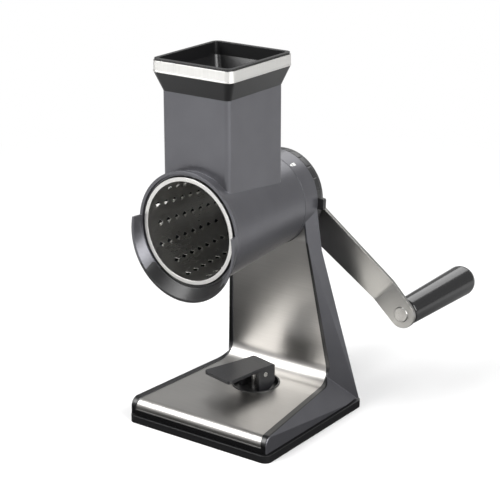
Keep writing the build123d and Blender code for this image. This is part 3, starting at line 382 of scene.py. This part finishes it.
RECIPES: dict[Finish, MouldedPlastic | WorkedSteel] = {
    # Grained walls with a metallic effect pigment; the ribs, the flare and the rim get painted shade, near
    # black by height and facing, for the dark reflections there.
    Finish.BODY_ABS: MouldedPlastic("moulded_body_abs", "#5a5a5e", roughness=0.34, flake=0.6, painted_shade_bands=(
        PaintedShadeBand("#0d0d0e", 0.30, low_mm=7.0, high_mm=149.0, side_limit=0.62, rear_limit=0.4),
        PaintedShadeBand("#0d0d0e", 0.34, low_mm=284.7, high_mm=311.0),
    )),
    Finish.RIM_ABS: MouldedPlastic("moulded_rim_abs", "#19191a", roughness=0.40),
    # A polished mould leaves the grip almost without grain, so its highlight is sharp.
    Finish.GRIP_ABS: MouldedPlastic(
        "glossy_grip_abs", "#161617", roughness=0.17, grain_depth=0.003, mottle=0.03),
    Finish.LEVER_ABS: MouldedPlastic("satin_lever_abs", "#1d1d1f", roughness=0.36, edge_mm=1.0),
    Finish.HUB_ABS: MouldedPlastic("dark_hub_abs", "#2c2c2e"),
    # Brushed across the sheet, so the crease and the front bend stretch the light sideways.
    Finish.COVER_STEEL: WorkedSteel("brushed_cover_steel", "#b4b2af", grain=Grain.ALONG_X),
    # Drawn along its axis before the teeth are punched.
    Finish.DRUM_STEEL: WorkedSteel("drawn_drum_steel", "#d2d1ce", roughness=0.26, grain=Grain.ALONG_Y),
    Finish.BAND_STEEL: WorkedSteel("satin_band_steel", "#e4e3e0", roughness=0.3, grain=Grain.ALONG_Z),
    Finish.ARM_STEEL: WorkedSteel("satin_arm_steel", "#b2b1ae", roughness=0.28, grain=Grain.EVEN),
    Finish.SHAFT_STEEL: WorkedSteel("turned_shaft_steel", "#bdbcb9", roughness=0.25, grain=Grain.ALONG_Y),
    Finish.BUSH_BRASS: WorkedSteel("turned_bush_brass", "#c9a25a", roughness=0.3, grain=Grain.EVEN),
    # Rubber scatters nearly all its light, so it has no clear highlight.
    Finish.CUP_RUBBER: MouldedPlastic("moulded_cup_rubber", "#26262a", roughness=0.7, ior=1.52),
    Finish.MARK_INK: MouldedPlastic("white_mark_ink", "#e9e9e6", roughness=0.5, edge_mm=0.1),
    # Painted shade: a near-black finish for the shade inside the crank screw's socket and the base screws'
    # cross recesses.
    Finish.SOCKET_SHADE: MouldedPlastic("painted_socket_shade", "#101011", roughness=0.6, edge_mm=0.1),
}


class Dresser:
    """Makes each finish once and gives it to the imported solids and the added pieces."""

    def __init__(self) -> None:
        """Build every finish."""
        self.materials = {finish: recipe.build() for finish, recipe in RECIPES.items()}
        self.slots = {row["slot"] for row in frame["record"]["materials"]}

    def dress_nodes(self) -> None:
        """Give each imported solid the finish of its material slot."""
        slots = {row["node"]: row["material_slot"] for row in frame["record"]["subparts"]}
        for name, solid in frame["nodes"].items():
            finish = Finish(slots[name])
            solid.data.materials.clear()
            solid.data.materials.append(self.materials[finish])
            LOG.info("%s is finished as %s", name, finish.name)

    def dress_piece(self, piece: bpy.types.Object, finish: Finish, body: str) -> None:
        """Finish an added piece and fix it to a body.

        Args:
            piece: The new piece.
            finish: Its finish.
            body: Name of the body it moves with.
        """
        piece.data.materials.append(self.materials[finish])
        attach(piece, body)
        LOG.info("%s rides on %s", piece.name, body)


def add_piece(name: str, points: list[Vector], faces: list[tuple[int, ...]]) -> bpy.types.Object:
    """Make a closed mesh whose faces look outwards.

    Args:
        name: The piece's name.
        points: Its corners, in metres.
        faces: Per face, the numbers of its corners.

    Returns:
        The new piece.
    """
    mesh = bpy.data.meshes.new(name)
    mesh.from_pydata(points, [], faces)
    shape = bmesh.new()
    shape.from_mesh(mesh)
    bmesh.ops.recalc_face_normals(shape, faces=shape.faces)
    shape.to_mesh(mesh)
    shape.free()
    piece = bpy.data.objects.new(name, mesh)
    bpy.context.collection.objects.link(piece)
    return piece


def solid_between(name: str, lower: list[Vector], upper: list[Vector]) -> bpy.types.Object:
    """Make a closed plate from two loops of the same length.

    Args:
        name: The piece's name.
        lower: Corners of one face.
        upper: The matching corners of the other face.

    Returns:
        The new piece.
    """
    count = len(lower)
    faces: list[tuple[int, ...]] = [tuple(range(count))[::-1], tuple(range(count, 2 * count))]
    faces += [(k, (k + 1) % count, count + (k + 1) % count, count + k) for k in range(count)]
    return add_piece(name, [*lower, *upper], faces)


def ring_between(name: str, inner: list[Vector], outer: list[Vector], rise: Vector) -> bpy.types.Object:
    """Make a closed frame between an inner and an outer loop of the same length.

    Args:
        name: The piece's name.
        inner: Corners of the inner loop.
        outer: The matching corners of the outer loop.
        rise: From the frame's lower side to its upper side.

    Returns:
        The new piece.
    """
    count = len(inner)
    loops = [inner, outer, [p + rise for p in outer], [p + rise for p in inner]]
    faces = [
        (a * count + k, a * count + (k + 1) % count, b * count + (k + 1) % count, b * count + k)
        for a, b in ((0, 1), (1, 2), (2, 3), (3, 0)) for k in range(count)
    ]
    return add_piece(name, [p for loop in loops for p in loop], faces)


@dataclass(frozen=True)
class LockMarks:
    """Printed arrow and bar on the head that show how the housing locks on."""

    axis_z: float = 180.3
    radius: float = 38.9
    ink_gap: float = 0.01       # keeps the ink off the head's own faces
    ink_top: float = 0.06
    middle_y: float = 31.6
    middle_deg: float = 54.5

    def wrap(self, outline: list[tuple[float, float]], lift: float) -> list[Vector]:
        """Lay a flat outline on the round head.

        Args:
            outline: Points (along the axis, round the head) from the mark's middle, in mm.
            lift: Height above the head, in mm.

        Returns:
            The points on the head, in metres.
        """
        points = []
        reach = self.radius + lift
        for along, around in outline:
            angle = math.radians(self.middle_deg) + around / self.radius
            points.append(Vector((
                reach * math.cos(angle), self.middle_y + along, self.axis_z + reach * math.sin(angle))) * MM)
        return points

    def build(self, dresser: Dresser) -> None:
        """Print both marks.

        Args:
            dresser: Gives the ink.
        """
        marks = {
            "lock_mark_arrow": [(-3.6, 0.0), (-0.6, -1.5), (-0.6, 1.5)],
            "lock_mark_bar": [(0.3, -1.5), (3.6, -1.5), (3.6, 1.5), (0.3, 1.5)],
        }
        for name, outline in marks.items():
            piece = solid_between(name, self.wrap(outline, self.ink_gap), self.wrap(outline, self.ink_top))
            dresser.dress_piece(piece, Finish.MARK_INK, "stand")


@dataclass(frozen=True)
class HopperBead:
    """Rolled bead along the lower edge of the hopper's band."""

    middle_y: float = -30.95
    half_x: float = 37.5
    half_y: float = 41.45
    corner: float = 6.0
    bottom_z: float = 299.7
    height: float = 1.0
    gap: float = 0.02           # keeps the bead off the band's own faces
    proud: float = 0.35
    corner_steps: int = 8

    def loop(self, out: float) -> list[Vector]:
        """Make a rounded rectangle.

        Args:
            out: How far it lies outside the band, in mm.

        Returns:
            Its points, in metres.
        """
        points = []
        for quarter, (sx, sy) in enumerate(((1, 1), (-1, 1), (-1, -1), (1, -1))):
            for step in range(self.corner_steps + 1):
                turn = math.radians(90 * (quarter + step / self.corner_steps))
                points.append(Vector((
                    sx * (self.half_x - self.corner) + (self.corner + out) * math.cos(turn),
                    self.middle_y + sy * (self.half_y - self.corner) + (self.corner + out) * math.sin(turn),
                    self.bottom_z,
                )) * MM)
        return points

    def build(self, dresser: Dresser) -> None:
        """Roll the bead.

        Args:
            dresser: Gives the band's finish.
        """
        rise = Vector((0, 0, self.height * MM))
        piece = ring_between("hopper_band_bead", self.loop(self.gap), self.loop(self.proud), rise)
        dresser.dress_piece(piece, Finish.BAND_STEEL, "housing")


@dataclass(frozen=True)
class ScrewSockets:
    """Hexagon socket of the crank's screw, with a floor of painted shade, and the cross recesses of the
    base's screws as flat crosses of painted shade.
    """

    axis_z: float = 180.3
    head_y: float = 69.4
    head_radius: float = 3.7
    socket_radius: float = 2.6
    socket_depth: float = 0.8
    floor_thick: float = 0.08
    corners: int = 24
    base_pitch: float = 56.0
    cross_z: float = 1.1        # just under the faces of the screws' heads
    cross_length: float = 2.2
    cross_half: float = 0.45
    cross_thick: float = 0.08

    def build_hexagon(self, dresser: Dresser) -> None:
        """Make the rim of the crank screw's socket and its floor, a thin near-black plate of painted shade.

        Args:
            dresser: Gives the finishes.
        """
        outer, inner = [], []
        half_side = math.pi / 6
        for k in range(self.corners):
            turn = 2 * math.pi * k / self.corners
            sixth = (turn + half_side) % (2 * half_side) - half_side
            reach = self.socket_radius * math.cos(half_side) / math.cos(sixth)
            for ring, radius in ((outer, self.head_radius), (inner, reach)):
                ring.append(Vector((
                    radius * math.cos(turn), self.head_y, self.axis_z + radius * math.sin(turn))) * MM)
        rim = ring_between("crank_screw_socket", inner, outer, Vector((0, self.socket_depth * MM, 0)))
        dresser.dress_piece(rim, Finish.SHAFT_STEEL, "crank")
        top = [p + Vector((0, self.floor_thick * MM, 0)) for p in inner]
        floor = solid_between("crank_screw_socket_floor", inner, top)
        dresser.dress_piece(floor, Finish.SOCKET_SHADE, "crank")

    def build_crosses(self, dresser: Dresser) -> None:
        """Make the crosses of the four screws in the base, thin flat near-black plates of painted shade
        where the recesses are.

        Args:
            dresser: Gives the finish.
        """
        length, half = self.cross_length, self.cross_half
        arm = [(length, -half), (length, half), (half, half)]
        cross: list[tuple[float, float]] = []
        for _ in range(4):
            cross += arm
            arm = [(-y, x) for x, y in arm]
        rise = Vector((0, 0, self.cross_thick * MM))
        for sx in (-1, 1):
            for sy in (-1, 1):
                lower = [
                    Vector((sx * self.base_pitch + x, sy * self.base_pitch + y, self.cross_z)) * MM
                    for x, y in cross
                ]
                corner = ("left" if sx < 0 else "right") + ("_front" if sy < 0 else "_rear")
                piece = solid_between(f"base_screw_cross_{corner}", lower, [p + rise for p in lower])
                dresser.dress_piece(piece, Finish.SOCKET_SHADE, "stand")

    def build(self, dresser: Dresser) -> None:
        """Make the socket and the crosses.

        Args:
            dresser: Gives the finishes.
        """
        self.build_hexagon(dresser)
        self.build_crosses(dresser)


@dataclass(frozen=True)
class Softbox:
    """Square area lamp that is aimed at the middle of the grater."""

    name: str
    place: tuple[float, float, float]
    size: float
    watts: float


@dataclass(frozen=True)
class Studio:
    """Camera, lamps, world and floor."""

    azimuth_deg: float = 35.78
    elevation_deg: float = 18.92
    distance: float = 1.34042
    focal_px: float = 1654.0
    image_px: float = 500.0
    sensor_mm: float = 36.0
    clip_start: float = 0.05
    target: tuple[float, float, float] = (-0.00005, 0.0048, 0.14272)
    floor_size: float = 6.0
    floor_colour: str = "#f3f3f3"
    painted_shade_near: str = "#1c1c1c"        # painted shade: close to the grater the floor is near black to bounced light and reflections
    bounce_far: str = "#d8d8d8"
    dark_reach: tuple[float, float] = (0.12, 0.55)
    fade_reach: tuple[float, float] = (0.25, 0.9)   # the floor fades into the white backdrop
    surround_light: float = 0.16        # how bright the surround is to diffuse light
    glossy_share: float = 0.3           # how far reflections see it towards full white
    lamps: tuple[Softbox, ...] = (
        Softbox("key_softbox", (-0.9, -1.5, 1.5), 1.7, 66.0),
        Softbox("side_softbox", (1.9, -0.3, 1.1), 1.5, 62.0),
        Softbox("back_softbox", (-0.3, 1.8, 1.6), 1.4, 16.0),
    )

    def place_camera(self) -> None:
        """Put the camera where the photograph was taken from."""
        azimuth = math.radians(self.azimuth_deg)
        elevation = math.radians(self.elevation_deg)
        back = Vector((
            math.sin(azimuth) * math.cos(elevation),
            -math.cos(azimuth) * math.cos(elevation),
            math.sin(elevation),
        ))
        data = bpy.data.cameras.new("camera")
        data.sensor_width = self.sensor_mm
        data.lens = self.focal_px / self.image_px * self.sensor_mm
        data.clip_start = self.clip_start
        camera = bpy.data.objects.new("camera", data)
        camera.location = Vector(self.target) + back * self.distance
        camera.rotation_euler = back.to_track_quat("Z", "Y").to_euler()
        bpy.context.collection.objects.link(camera)
        bpy.context.scene.camera = camera

    def place_lamps(self) -> None:
        """Hang the softboxes."""
        for softbox in self.lamps:
            data = bpy.data.lights.new(softbox.name, "AREA")
            data.shape = "SQUARE"
            data.size = softbox.size
            data.energy = softbox.watts
            lamp = bpy.data.objects.new(softbox.name, data)
            lamp.location = softbox.place
            back = Vector(softbox.place) - Vector(self.target)
            lamp.rotation_euler = back.to_track_quat("Z", "Y").to_euler()
            bpy.context.collection.objects.link(lamp)

    def light_world(self) -> None:
        """Give a white surround to the eye, a greyer one to reflections and a dim one to the light."""
        world = bpy.data.worlds.new("studio_surround")
        world.use_nodes = True
        tree = world.node_tree
        tree.nodes.clear()
        path = add_node(tree, "ShaderNodeLightPath")
        seen = add_math(
            tree, "MULTIPLY_ADD",
            path.outputs["Is Glossy Ray"], self.glossy_share, path.outputs["Is Camera Ray"])
        surround = add_node(tree, "ShaderNodeBackground", {}, {
            "Color": (1.0, 1.0, 1.0, 1.0),
            "Strength": add_range(tree, seen, (0.0, 1.0), (self.surround_light, 1.0))})
        add_node(tree, "ShaderNodeOutputWorld", {}, {"Surface": surround.outputs["Background"]})
        bpy.context.scene.world = world

    def paper(self) -> bpy.types.Material:
        """Make the floor's pale paper, which fades to white for the eye; to bounced light and reflections it
        carries painted shade, near black close to the grater and light grey further out.

        Returns:
            The new material.
        """
        material, tree = new_material("pale_floor_paper")
        place = add_node(tree, "ShaderNodeTexCoord").outputs["Object"]
        reach = add_node(
            tree, "ShaderNodeVectorMath", {"operation": "LENGTH"}, {0: place}).outputs["Value"]
        eye = add_node(tree, "ShaderNodeLightPath").outputs["Is Camera Ray"]
        spread = add_range(tree, reach, self.dark_reach, (0.0, 1.0))
        # Painted shade: to bounced light and reflections the floor is near black close to the grater and
        # greys out further off.
        bounced = add_mix(tree, "RGBA", spread, linear(self.painted_shade_near), linear(self.bounce_far))
        colour = add_mix(tree, "RGBA", eye, bounced, linear(self.floor_colour))
        matt = add_node(tree, "ShaderNodeBsdfDiffuse", {}, {"Color": colour})
        white = add_node(tree, "ShaderNodeEmission")
        faded = add_math(tree, "MULTIPLY", add_range(tree, reach, self.fade_reach, (0.0, 1.0)), eye)
        both = add_node(tree, "ShaderNodeMixShader", {}, {
            0: faded, 1: matt.outputs["BSDF"], 2: white.outputs["Emission"]})
        add_node(tree, "ShaderNodeOutputMaterial", {}, {"Surface": both.outputs["Shader"]})
        return material

    def lay_floor(self) -> None:
        """Lay the pale floor that the grater stands on."""
        half = self.floor_size / 2
        mesh = bpy.data.meshes.new("floor")
        mesh.from_pydata(
            [(-half, -half, 0), (half, -half, 0), (half, half, 0), (-half, half, 0)], [], [(0, 1, 2, 3)])
        mesh.materials.append(self.paper())
        floor = bpy.data.objects.new("floor", mesh)
        bpy.context.collection.objects.link(floor)

    def build(self) -> None:
        """Set up the whole studio."""
        self.place_camera()
        self.place_lamps()
        self.light_world()
        self.lay_floor()
        bpy.context.scene.view_settings.view_transform = "Standard"


def main() -> None:
    """Dress the grater, set up the studio and report each piece."""
    logging.basicConfig(level=logging.INFO, format="%(name)s: %(message)s")
    Studio().build()
    dresser = Dresser()
    dresser.dress_nodes()
    for piece in (LockMarks(), HopperBead(), ScrewSockets()):
        piece.build(dresser)


if __name__ == "__main__":
    main()
